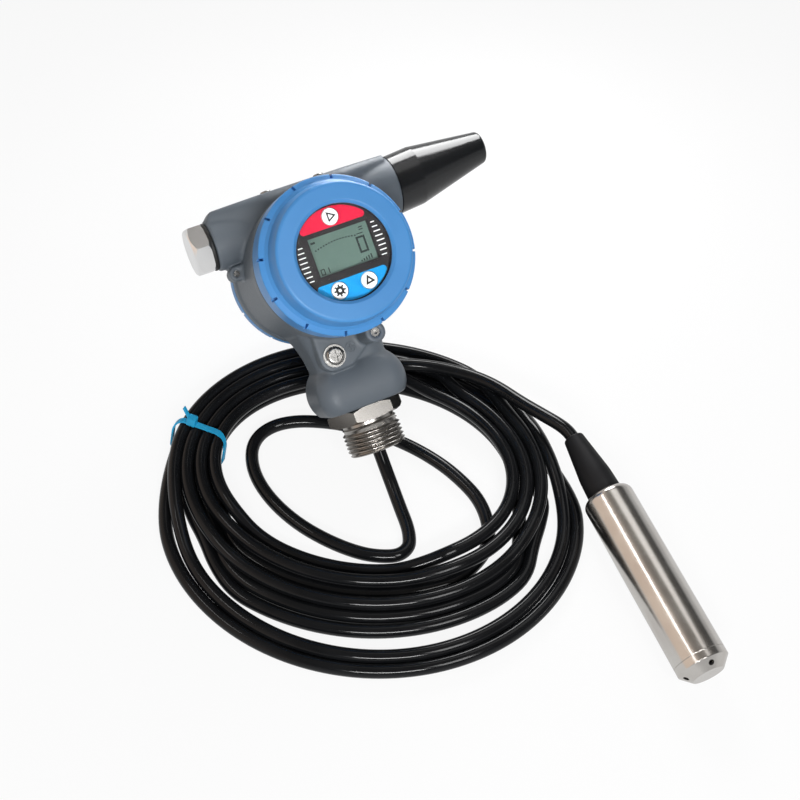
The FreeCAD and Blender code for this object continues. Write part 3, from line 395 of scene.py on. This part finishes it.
def ovalPoint(oval, degrees, inset=0.0):
    (x, y), longHalf, shortHalf = oval
    angle = math.radians(degrees)
    spot = Vector(((longHalf - inset) * math.cos(angle), (shortHalf - inset) * math.sin(angle), 0.0))
    return Matrix.Rotation(math.radians(coil["turn"]), 3, "Z") @ spot + Vector((x, y, 0.0))


def slotPoint(slot, degrees):
    degrees = (degrees + coil["seam"]) % 360 - coil["seam"]
    inside = ovalPoint(coil["inner"], degrees)
    across = ovalPoint(coil["outer"], degrees) - inside
    width = across.length
    offset = coil["edge"] + slot["column"] * (width - 2 * coil["edge"]) / coil["columns"]
    height = coil["layer"] * slot["layer"]
    if "inset" in slot:
        away = between(degrees, coil["strayFrom"], coil["strayTo"], 0.0, slot.get("late", 0.0))
        inset = slot["inset"] - slot["frontOut"] * max(0.0, -math.sin(math.radians(degrees))) ** 2
        spot = inside + across * (offset / width)
        spot = spot.lerp(ovalPoint(coil["stray"], degrees, inset), away)
        height += (slot["fanHeight"] - height) * ease((away - coil["strayLift"]) / (1 - coil["strayLift"]))
    else:
        fan = between(degrees, coil["fanFrom"], coil["fanTo"], slot.get("late", 0.0), slot.get("hold", 0.0))
        offset += (slot["fan"] * width / coil["frontWidth"] - offset) * ease(fan * coil["fanGain"])
        height += (slot["fanHeight"] - height) * ease((fan - coil["fanLift"]) / (1 - coil["fanLift"]))
        spot = inside + across * (offset / width)
    return spot + Vector((0, 0, floorLine + height))


# the turns run clockwise; behind the head each one shifts to the next slot, the last of them first
def coilPoint(travel):
    last = len(coil["slots"]) - 2
    starts = [-coil["turnTravel"] * (turn + 1) - coil["shift"] for turn in range(last + 1)]
    shifts = [ease((start - travel) / coil["shift"]) for start in starts]
    low = min(int(sum(shifts)), last)
    share = sum(shifts) - low
    spot = slotPoint(coil["slots"][low], travel).lerp(slotPoint(coil["slots"][low + 1], travel), share)
    if coil["slots"][low]["layer"] != coil["slots"][low + 1]["layer"]:
        outwards = ovalPoint(coil["outer"], travel) - ovalPoint(coil["inner"], travel)
        spot += outwards.normalized() * coil["climbBow"] * math.sin(math.pi * share)
    return spot


def makeCable():
    count = int((coil["end"] - coil["start"]) / coil["step"]) + 1
    turns = [coilPoint(coil["start"] + index * coil["step"]) for index in range(count)]
    route = [Vector(spot) * mm for spot in leadRoute + turns + tailRoute]
    curve = bpy.data.curves.new("signal_cable", "CURVE")
    curve.dimensions = "3D"
    spline = curve.splines.new("NURBS")
    spline.points.add(len(route) - 1)
    for point, spot in zip(spline.points, route):
        point.co = (*spot, 1.0)
    spline.order_u = 3
    spline.use_endpoint_u = True
    spline.resolution_u = cable["resolution"]
    curve.bevel_depth = cable["radius"] * mm
    curve.bevel_resolution = cable["bevelSteps"]
    curve.use_fill_caps = True
    return newObject("signal_cable", curve, finishes["cable_black"], "transmitter")


# cable tie: strap round the hank, ratchet head at its outer side, cut tail standing up from the head
tie = {
    "middle": (-137.9, 2.6), "turn": -23.0, "span": 34.2, "top": 16.6, "lean": 0.55, "width": 2.6, "thick": 1.0,
    "foot": 2.0, "shoulder": 7.75, "roundSteps": 10, "head": (5.6, 4.6, 3.8), "headAt": -5.8, "headEdge": 0.7,
    "tail": (6.5, 2.2, 1.0), "tailTurn": 48.0, "tailEdge": 0.3, "tailFrom": (0.3, 0.45),
}


def roundEdges(bm, edges, radius, steps):
    bmesh.ops.bevel(bm, geom=edges, offset=radius, affect="EDGES", segments=steps, profile=0.5, material=-1)


def makeTie():
    bm = bmesh.new()
    addBox(bm, (0, 0, tie["top"] / 2), (tie["span"], tie["width"], tie["top"]))
    for height, rounding in ((0.0, tie["foot"]), (tie["top"], tie["shoulder"])):
        corners = [edge for edge in bm.edges if all(abs(vert.co.z - height) < 1e-4 for vert in edge.verts)
                   and abs(edge.verts[0].co.y - edge.verts[1].co.y) > 1]
        roundEdges(bm, corners, rounding, tie["roundSteps"])
    ends = [face for face in bm.faces if abs(face.normal.y) > 0.9]
    bmesh.ops.delete(bm, geom=ends, context="FACES_ONLY")
    bmesh.ops.recalc_face_normals(bm, faces=bm.faces)
    bmesh.ops.solidify(bm, geom=bm.faces[:], thickness=tie["thick"])
    head = tie["head"]
    verts = addBox(bm, (tie["headAt"], 0, tie["top"] - tie["thick"] + head[2] / 2), head)
    edges = list({edge for vert in verts for edge in vert.link_edges})
    roundEdges(bm, edges, tie["headEdge"], 3)
    tail = tie["tail"]
    lean = Matrix.Rotation(math.radians(tie["tailTurn"]), 4, "Y")
    back, rise = tie["tailFrom"]
    start = Matrix.Translation((tie["headAt"] - head[0] * back, 0, tie["top"] + head[2] * rise))
    place = start @ lean @ Matrix.Translation((-tail[0] / 2, 0, 0)) @ Matrix.Diagonal((*tail, 1.0))
    verts = bmesh.ops.create_cube(bm, size=1.0, matrix=place)["verts"]
    edges = list({edge for vert in verts for edge in vert.link_edges})
    roundEdges(bm, edges, tie["tailEdge"], 2)
    lean = Matrix.Shear("XY", 4, (0.0, tie["lean"])) @ Matrix.Translation((0, 0, -tie["top"] / 2))
    turn = Matrix.Rotation(math.radians(tie["turn"]), 4, "Z")
    place = Matrix.Scale(mm, 4) @ Matrix.Translation((*tie["middle"], tie["top"] / 2)) @ turn @ lean
    piece = finishPiece("tie_strap", bm, place, finishes["tie_blue"], "transmitter")
    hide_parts("cable_tie")
    return piece


cablePiece = makeCable()
tiePiece = makeTie()
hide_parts("cable_lead", "cable_coil", "cable_tail")
print("cable laid")

# housing: the CAD casting with its corners run together as cast metal does
casting = {"voxel": 0.85, "smooth": 0.5, "passes": 4}


def makeCasting():
    bm = bmesh.new()
    bm.from_mesh(nodes["housing"].data)
    bmesh.ops.remove_doubles(bm, verts=bm.verts, dist=meshing["cadWeld"])
    bmesh.ops.transform(bm, matrix=headFrame.inverted(), verts=bm.verts)
    mesh = bpy.data.meshes.new("casting_core")
    bm.to_mesh(mesh)
    bm.free()
    core = bpy.data.objects.new("casting_core", mesh)
    scene.collection.objects.link(core)
    remesh = core.modifiers.new("cast", "REMESH")
    remesh.mode = "VOXEL"
    remesh.voxel_size = casting["voxel"] * mm
    soften = core.modifiers.new("soften", "SMOOTH")
    soften.factor = casting["smooth"]
    soften.iterations = casting["passes"]
    bpy.context.view_layer.update()
    cast = bpy.data.meshes.new_from_object(core.evaluated_get(bpy.context.evaluated_depsgraph_get()))
    bpy.data.objects.remove(core)
    cast.name = "cast_housing"
    cast.transform(headFrame)
    cast.shade_smooth()
    piece = newObject("cast_housing", cast, finishes["housing_grey"], "transmitter")
    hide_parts("housing")
    print("casting faces", len(cast.polygons))


makeCasting()

# process connector: the CAD piece cut down to the thread's root, with the pipe thread wound round it;
# profile lists the heights of the ridge's corners, in pitches
thread = {
    "root": 15.15, "crest": 16.6, "pitch": 2.309, "top": -92.3, "turns": 5.3, "steps": 72,
    "sink": 0.15, "crown": 0.12, "profile": (0.04, -0.4, -0.46, -0.54, -0.6, -0.96),
    "reachSlack": 0.05, "topSlack": 1.0,
}


def makeConnector():
    bm = bmesh.new()
    bm.from_mesh(nodes["process_connector"].data)
    bmesh.ops.remove_doubles(bm, verts=bm.verts, dist=meshing["cadWeld"])
    bmesh.ops.transform(bm, matrix=headMm.inverted(), verts=bm.verts)
    for vert in bm.verts:
        reach = math.hypot(vert.co.x, vert.co.y)
        if abs(reach - thread["crest"]) < thread["reachSlack"] and vert.co.z < thread["top"] + thread["topSlack"]:
            vert.co.x *= thread["root"] / reach
            vert.co.y *= thread["root"] / reach
    low, crest, pitch = thread["root"] - thread["sink"], thread["crest"], thread["pitch"]
    radii = (low, crest - thread["crown"], crest, crest, crest - thread["crown"], low)
    section = zip(radii, thread["profile"])
    verts = [bm.verts.new((radius, 0, thread["top"] + share * pitch)) for radius, share in section]
    start = bm.faces.new(verts)
    steps = int(thread["turns"] * thread["steps"])
    bmesh.ops.spin(bm, geom=[start], cent=(0, 0, 0), axis=(0, 0, 1), dvec=(0, 0, -pitch / thread["steps"]),
                   angle=2 * math.pi * thread["turns"], steps=steps, use_duplicate=False)
    steel = finishes["connector_steel"]
    piece = finishPiece("connector_threaded", bm, headMm, steel, "transmitter")
    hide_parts("process_connector")


makeConnector()
print("casting and connector made")

# panel prints, laid on the faceplate; local x and y follow the panel, z stands towards the window
panel = {
    "front": -69.7, "ink": 0.08, "radius": 23.9, "redChord": 13.9, "blueChord": -12.3, "corner": 1.8,
    "arcSteps": 60, "cornerSteps": 16, "holeSteps": 48, "lcdDepth": 1.6,
    "tickCount": 8, "tickPitch": 2.45, "tickInner": 18.7, "tickReach": 23.6, "tickEnd": 0.8, "tickWidth": 0.55,
    "rightRise": 1.2,
}
keys = {
    "circle": 19.0, "hole": 4.5, "proud": 0.4, "ink": 0.06,
    "angles": {"key_up": 90.0, "key_set": 244.8, "key_shift": 295.2},
}
panelPlace = headMm @ Matrix.Translation((0, panel["front"], 0)) @ Matrix.Rotation(math.pi / 2, 4, "X")


def inkFinish(name, color):
    return surfaceFinish(name, {
        "color": color, "tint": tuple(min(part * 1.06 + 0.002, 1.0) for part in color),
        "rough": (0.5, 0.6), "ior": 1.2, "patch": 120.0, "grain": 2600.0, "bump": 0.2, "depth": 0.02})


inks = {
    "red": inkFinish("ink_red", (0.53, 0.009, 0.040)), "blue": inkFinish("ink_blue", (0.004, 0.22, 0.52)),
    "white": inkFinish("ink_white", (0.80, 0.80, 0.80)), "dark": inkFinish("ink_dark", (0.014, 0.014, 0.015)),
    "segment": inkFinish("lcd_segment", (0.016, 0.022, 0.022)),
}


def raiseInk(bm, thick):
    raised = bmesh.ops.extrude_face_region(bm, geom=bm.faces[:], use_keep_orig=True)
    tops = [item for item in raised["geom"] if isinstance(item, bmesh.types.BMVert)]
    bmesh.ops.translate(bm, verts=tops, vec=(0, 0, thick))


def keySpot(name):
    angle = math.radians(keys["angles"][name])
    return keys["circle"] * math.cos(angle), keys["circle"] * math.sin(angle)


# a field between the window's edge and a chord, with its two corners rounded and a hole round each of its keys
def inkField(name, chord, keyNames, material):
    bm = bmesh.new()
    side, corner = (1 if chord > 0 else -1), panel["corner"]
    level = abs(chord) + corner
    turnAt = math.asin(level / (panel["radius"] - corner))
    spread = math.sqrt((panel["radius"] - corner) ** 2 - level ** 2)
    outline = []
    for index in range(panel["arcSteps"] + 1):
        angle = turnAt + (math.pi - 2 * turnAt) * index / panel["arcSteps"]
        outline.append((panel["radius"] * math.cos(angle), panel["radius"] * math.sin(angle)))
    down = 1.5 * math.pi
    for middle, first, last in ((-spread, math.pi - turnAt, down), (spread, down, 2 * math.pi + turnAt)):
        for index in range(1, panel["cornerSteps"]):
            angle = first + (last - first) * index / panel["cornerSteps"]
            outline.append((middle + corner * math.cos(angle), level + corner * math.sin(angle)))
    rim = [bm.verts.new((x, y * side, 0)) for x, y in outline]
    for first, second in zip(rim, rim[1:] + rim[:1]):
        bm.edges.new((first, second))
    for keyName in keyNames:
        place = Matrix.Translation((*keySpot(keyName), 0))
        bmesh.ops.create_circle(bm, radius=keys["hole"], segments=panel["holeSteps"], matrix=place)
    bmesh.ops.triangle_fill(bm, use_beauty=True, edges=bm.edges[:])
    raiseInk(bm, panel["ink"])
    finishPiece(name, bm, panelPlace, material, "transmitter")


def inkTicks():
    bm = bmesh.new()
    for side in (-1, 1):
        for index in range(panel["tickCount"]):
            height = (index - (panel["tickCount"] - 1) / 2) * panel["tickPitch"]
            height += panel["rightRise"] if side > 0 else 0.0
            inner, reach = panel["tickInner"], math.sqrt(panel["tickReach"] ** 2 - height ** 2) - panel["tickEnd"]
            middle = (side * (inner + reach) / 2, height, panel["ink"] / 2)
            addBox(bm, middle, (reach - inner, panel["tickWidth"], panel["ink"]))
    finishPiece("panel_ticks", bm, panelPlace, inks["white"], "transmitter")


inkField("panel_red_field", panel["redChord"], ["key_up"], inks["red"])
inkField("panel_blue_field", panel["blueChord"], ["key_set", "key_shift"], inks["blue"])
inkTicks()

# display: a nought, two small figures, rising bars and a dotted scale; strokes are (x, y, width, height)
lcd = {
    "ink": 0.05, "strokes": [
        (9.6, 1.0, 1.0, 8.0), (13.4, 1.0, 1.0, 8.0), (11.5, 4.7, 4.8, 1.0), (11.5, -2.7, 4.8, 1.0),
        (-13.4, -5.9, 0.5, 2.8), (-11.6, -5.9, 0.5, 2.8), (-12.5, -4.6, 2.2, 0.5), (-12.5, -7.2, 2.2, 0.5),
        (-9.2, -5.9, 0.55, 2.9),
        (8.4, -6.8, 0.7, 0.8), (9.8, -6.6, 0.7, 1.2), (11.2, -6.4, 0.7, 1.6), (12.6, -6.2, 0.7, 2.0),
        (14.0, -6.0, 0.7, 2.4),
        (-12.6, 9.2, 2.4, 1.0), (13.3, 9.5, 2.2, 0.5), (13.3, 8.3, 2.2, 0.5), (12.0, 6.5, 3.4, 0.45),
    ],
    "dots": 15, "dotStart": (-12.4, 5.2), "dotStep": (1.55, 0.05), "dotBow": 1.6, "dot": 0.75,
}


def makeLcdMarks():
    bm = bmesh.new()
    for x, y, width, height in lcd["strokes"]:
        addBox(bm, (x, y, lcd["ink"] / 2), (width, height, lcd["ink"]))
    for index in range(lcd["dots"]):
        x = lcd["dotStart"][0] + index * lcd["dotStep"][0]
        y = lcd["dotStart"][1] + index * lcd["dotStep"][1]
        y += lcd["dotBow"] * math.sin(math.pi * index / lcd["dots"])
        addBox(bm, (x, y, lcd["ink"] / 2), (lcd["dot"], lcd["dot"], lcd["ink"]))
    place = panelPlace @ Matrix.Translation((0, 0, -panel["lcdDepth"]))
    finishPiece("lcd_marks", bm, place, inks["segment"], "transmitter")


makeLcdMarks()

# marks on the keys: two arrow heads and a gear, each on its own key
marks = {
    "arrow": 3.1, "gearInner": 0.85, "gearOuter": 2.15, "gearSteps": 40,
    "teeth": 8, "toothAt": 2.55, "tooth": (1.1, 0.85),
    "arrows": {"key_up": (30.0, 0.75), "key_shift": (10.0, 0.95)},
}


def keyPlace(name):
    return panelPlace @ Matrix.Translation((*keySpot(name), keys["proud"]))


def arrowMark(name, turn, stroke):
    bm = bmesh.new()
    bmesh.ops.create_circle(bm, cap_ends=True, radius=marks["arrow"], segments=3)
    bmesh.ops.rotate(bm, verts=bm.verts, cent=(0, 0, 0), matrix=Matrix.Rotation(math.radians(turn), 3, "Z"))
    bmesh.ops.inset_region(bm, faces=bm.faces[:], thickness=stroke, use_boundary=True, use_even_offset=True)
    middle = min(bm.faces, key=lambda face: (face.calc_center_median().length, -len(face.verts)))
    bmesh.ops.delete(bm, geom=[middle], context="FACES")
    raiseInk(bm, keys["ink"])
    finishPiece(name + "_mark", bm, keyPlace(name), inks["dark"], name)


def addRing(bm, innerRadius, outerRadius, steps, thick):
    inner, outer = bm.verts.new((innerRadius, 0, 0)), bm.verts.new((outerRadius, 0, 0))
    bmesh.ops.spin(bm, geom=[inner, outer, bm.edges.new((inner, outer))], cent=(0, 0, 0), axis=(0, 0, 1),
                   angle=2 * math.pi, steps=steps, use_merge=True)
    raiseInk(bm, thick)


def gearMark(name):
    bm = bmesh.new()
    addRing(bm, marks["gearInner"], marks["gearOuter"], marks["gearSteps"], keys["ink"])
    for index in range(marks["teeth"]):
        turn = 360 / marks["teeth"] * index
        angle = math.radians(turn)
        spot = (marks["toothAt"] * math.cos(angle), marks["toothAt"] * math.sin(angle), keys["ink"] / 2)
        addBox(bm, spot, (*marks["tooth"], keys["ink"]), turn)
    finishPiece(name + "_mark", bm, keyPlace(name), inks["dark"], name)


for keyName, (turn, stroke) in marks["arrows"].items():
    arrowMark(keyName, turn, stroke)
gearMark("key_set")
print("panel printed")

# earth symbol, cast proud of the pad beside the ground screw: a ring with a stem and three bars
earth = {
    "place": (-1.0, -23.6, -47.6), "inner": 2.3, "outer": 3.0, "proud": 1.0, "steps": 40,
    "bars": [(0.0, 1.1, 0.6, 1.6), (0.0, 0.25, 3.2, 0.55), (0.0, -0.65, 2.1, 0.55), (0.0, -1.5, 1.0, 0.55)],
}


def earthMark():
    bm = bmesh.new()
    addRing(bm, earth["inner"], earth["outer"], earth["steps"], earth["proud"])
    for x, y, width, height in earth["bars"]:
        addBox(bm, (x, y, earth["proud"] / 2), (width, height, earth["proud"]))
    place = headMm @ Matrix.Translation(earth["place"]) @ Matrix.Rotation(math.pi / 2, 4, "X")
    finishPiece("earth_mark", bm, place, finishes["housing_grey"], "transmitter")


earthMark()

# floor, backdrop light and lamps; sky lists the height and colour that polished faces see, warm that of the left
# side; a lamp's energy is its glow times its area times lampPower
studio = {
    "floorHalf": 4.0, "floorColor": (0.80, 0.80, 0.80), "floorRough": 0.9, "floorGlow": 0.90, "floorSheen": 0.78,
    "fill": 0.12, "backdrop": 0.905, "lampPower": 4.0, "aim": (0, 0, 0.04),
    "sky": [(0.0, (0.62, 0.62, 0.62)), (0.30, (0.50, 0.50, 0.50)), (0.42, (0.07, 0.07, 0.07)),
            (0.75, (0.12, 0.115, 0.11)), (0.95, (0.26, 0.24, 0.22))],
    "warm": (0.88, 0.73, 0.62), "warmFrom": 0.25, "warmTo": 0.80,
    "lamps": [
        {"name": "front_lamp", "azimuth": 0.0, "elevation": 33.0, "distance": 1.0,
         "size": (0.40, 0.11), "glow": 32.0},
        {"name": "key_lamp", "azimuth": 28.0, "elevation": 46.0, "distance": 1.1,
         "size": (0.22, 0.45), "glow": 8.0},
        {"name": "strip_lamp", "azimuth": -93.0, "elevation": 50.7, "distance": 1.3,
         "size": (0.5, 0.055), "glow": 8.0, "aim": (0.109, -0.093, 0.018)},
        {"name": "top_lamp", "azimuth": 150.0, "elevation": 66.0, "distance": 1.3,
         "size": (0.7, 0.5), "glow": 0.8},
        {"name": "boot_lamp", "azimuth": 174.0, "elevation": 37.0, "distance": 0.22,
         "size": (0.20, 0.15), "glow": 10.0, "aim": (-0.003, 0.125, 0.104)},
    ],
}


def cameraLook(tree):
    path = tree.nodes.new("ShaderNodeLightPath")
    return path.outputs["Is Camera Ray"], path.outputs["Is Glossy Ray"]


def makeFloor():
    bm = bmesh.new()
    bmesh.ops.create_grid(bm, x_segments=1, y_segments=1, size=studio["floorHalf"])
    mesh = bpy.data.meshes.new("floor")
    bm.to_mesh(mesh)
    bm.free()
    material = bpy.data.materials.new("floor_pale")
    material.use_nodes = True
    tree = material.node_tree
    shader, output = tree.nodes["Principled BSDF"], tree.nodes["Material Output"]
    shader.inputs["Base Color"].default_value = (*studio["floorColor"], 1.0)
    shader.inputs["Roughness"].default_value = studio["floorRough"]
    shader.inputs["Specular IOR Level"].default_value = 0.0
    direct, sheen = cameraLook(tree)
    for level, seen in ((1.0, direct), (studio["floorSheen"], sheen)):
        glow, mix, share = (tree.nodes.new("ShaderNodeEmission"), tree.nodes.new("ShaderNodeMixShader"),
                            tree.nodes.new("ShaderNodeMath"))
        glow.inputs["Strength"].default_value = level
        share.operation = "MULTIPLY"
        share.inputs[1].default_value = studio["floorGlow"]
        tree.links.new(seen, share.inputs[0])
        tree.links.new(share.outputs["Value"], mix.inputs["Fac"])
        tree.links.new(shader.outputs[0], mix.inputs[1])
        tree.links.new(glow.outputs["Emission"], mix.inputs[2])
        shader = mix
    tree.links.new(shader.outputs[0], output.inputs["Surface"])
    mesh.materials.append(material)
    floor = bpy.data.objects.new("floor", mesh)
    scene.collection.objects.link(floor)


# world: an even fill, a pale backdrop to the camera, and a sky with a warm left side that polished faces show
def makeWorld():
    world = bpy.data.worlds.new("studio")
    scene.world = world
    world.use_nodes = True
    tree = world.node_tree
    back = tree.nodes["Background"]
    make, link = tree.nodes.new, tree.links.new
    place, parts, sky = make("ShaderNodeTexCoord"), make("ShaderNodeSeparateXYZ"), make("ShaderNodeValToRGB")
    stops = sky.color_ramp.elements
    stops[0].position, stops[0].color = studio["sky"][0][0], (*studio["sky"][0][1], 1.0)
    stops[1].position, stops[1].color = studio["sky"][-1][0], (*studio["sky"][-1][1], 1.0)
    for height, color in studio["sky"][1:-1]:
        stops.new(height).color = (*color, 1.0)
    left = make("ShaderNodeMapRange")
    left.interpolation_type = "SMOOTHSTEP"
    left.inputs["From Min"].default_value = -studio["warmFrom"]
    left.inputs["From Max"].default_value = -studio["warmTo"]
    warm, gloss, seen = make("ShaderNodeMix"), make("ShaderNodeMix"), make("ShaderNodeMix")
    for mix in (warm, gloss, seen):
        mix.data_type = "RGBA"
    warm.inputs[7].default_value = (*studio["warm"], 1.0)
    gloss.inputs[6].default_value = (studio["fill"], studio["fill"], studio["fill"], 1.0)
    seen.inputs[7].default_value = (studio["backdrop"], studio["backdrop"], studio["backdrop"], 1.0)
    direct, sheen = cameraLook(tree)
    link(place.outputs["Generated"], parts.inputs["Vector"])
    link(parts.outputs["Z"], sky.inputs["Fac"])
    link(parts.outputs["X"], left.inputs["Value"])
    link(left.outputs["Result"], warm.inputs["Factor"])
    link(sky.outputs["Color"], warm.inputs[6])
    link(sheen, gloss.inputs["Factor"])
    link(warm.outputs[2], gloss.inputs[7])
    link(direct, seen.inputs["Factor"])
    link(gloss.outputs[2], seen.inputs[6])
    link(seen.outputs[2], back.inputs["Color"])


# lamps stand round their aim; azimuth runs from the camera's side to the right
def makeLamps():
    for lamp in studio["lamps"]:
        light = bpy.data.lights.new(lamp["name"], "AREA")
        light.shape = "RECTANGLE"
        light.size, light.size_y = lamp["size"]
        light.energy = studio["lampPower"] * lamp["glow"] * lamp["size"][0] * lamp["size"][1]
        holder = bpy.data.objects.new(lamp["name"], light)
        around, up = math.radians(lamp["azimuth"]), math.radians(lamp["elevation"])
        reach = Vector((math.sin(around) * math.cos(up), -math.cos(around) * math.cos(up), math.sin(up)))
        holder.location = Vector(lamp.get("aim", studio["aim"])) + reach * lamp["distance"]
        holder.rotation_euler = (-reach).to_track_quat("-Z", "Y").to_euler()
        holder.visible_camera = False
        scene.collection.objects.link(holder)


makeFloor()
makeWorld()
makeLamps()
print("studio lit")
